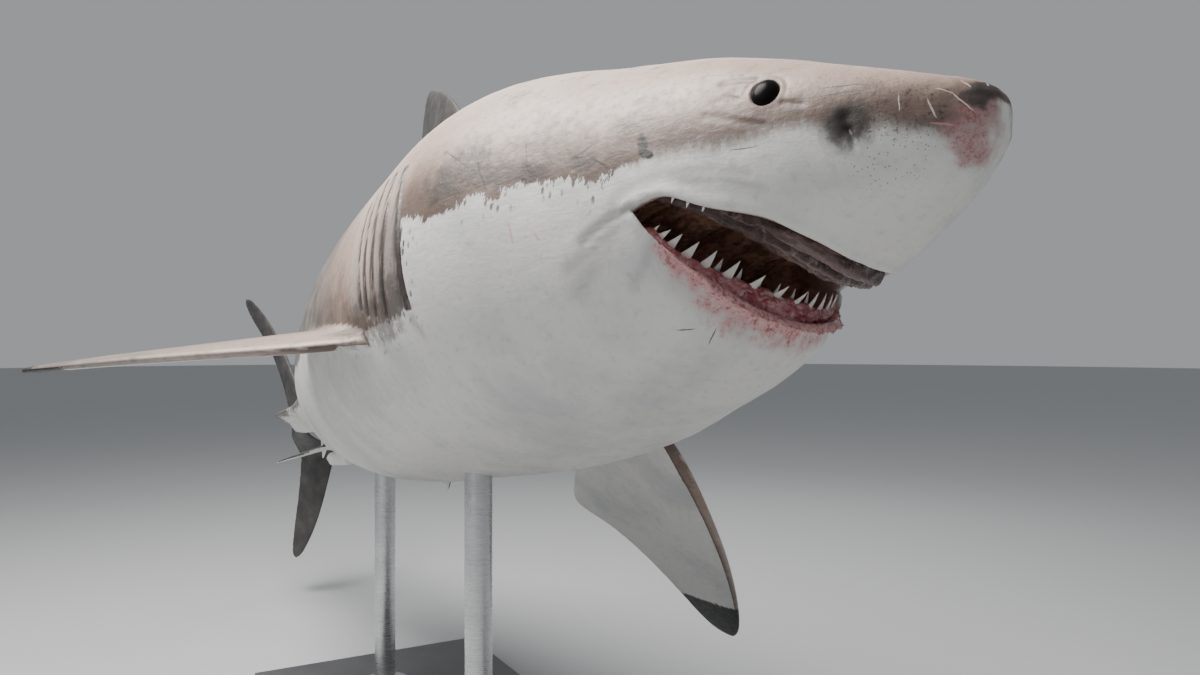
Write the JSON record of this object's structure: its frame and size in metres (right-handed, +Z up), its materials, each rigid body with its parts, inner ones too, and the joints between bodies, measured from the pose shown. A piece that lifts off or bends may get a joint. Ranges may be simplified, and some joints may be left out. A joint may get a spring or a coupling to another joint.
{
  "type": "great white shark display model",
  "caption": "Life-size still model of an adult great white shark, banked with its mouth open, held on a flat base by two plain rods.",
  "frame": {"origin": "middle of the stand's underside, on the floor", "axes": "+Z up, -Y towards the nose, +X towards the shark's left"},
  "size_m": [1.7603, 4.0535, 1.9554],
  "materials": {
    "shark_skin": "grey-brown back over a white belly, fine matt skin with scars and dark specks",
    "belly_skin": "off-white matt skin",
    "gum": "moist pink gum with ivory teeth",
    "eye": "near-black glossy eye",
    "stand_base": "satin charcoal paint",
    "stand_steel": "brushed round bar"
  },
  "bodies": {
    "root": {"head": "shark_skin", "lower_jaw": "belly_skin", "gill_section": "shark_skin", "trunk_front": "shark_skin", "trunk_rear": "shark_skin", "tail_stalk": "shark_skin", "dorsal_fin": "shark_skin", "second_dorsal_fin": "shark_skin", "anal_fin": "shark_skin", "caudal_fin_upper": "shark_skin", "caudal_fin_lower": "shark_skin", "pectoral_fin_right": "shark_skin", "pectoral_fin_left": "shark_skin", "pelvic_fin_right": "shark_skin", "pelvic_fin_left": "shark_skin", "clasper_right": "belly_skin", "clasper_left": "belly_skin", "eye_right": "eye", "eye_left": "eye", "upper_gum_and_teeth": "gum", "lower_gum_and_teeth": "gum", "stand_base": "stand_base", "stand_rod_front": "stand_steel", "stand_rod_rear": "stand_steel"}
  },
  "joints": []
}
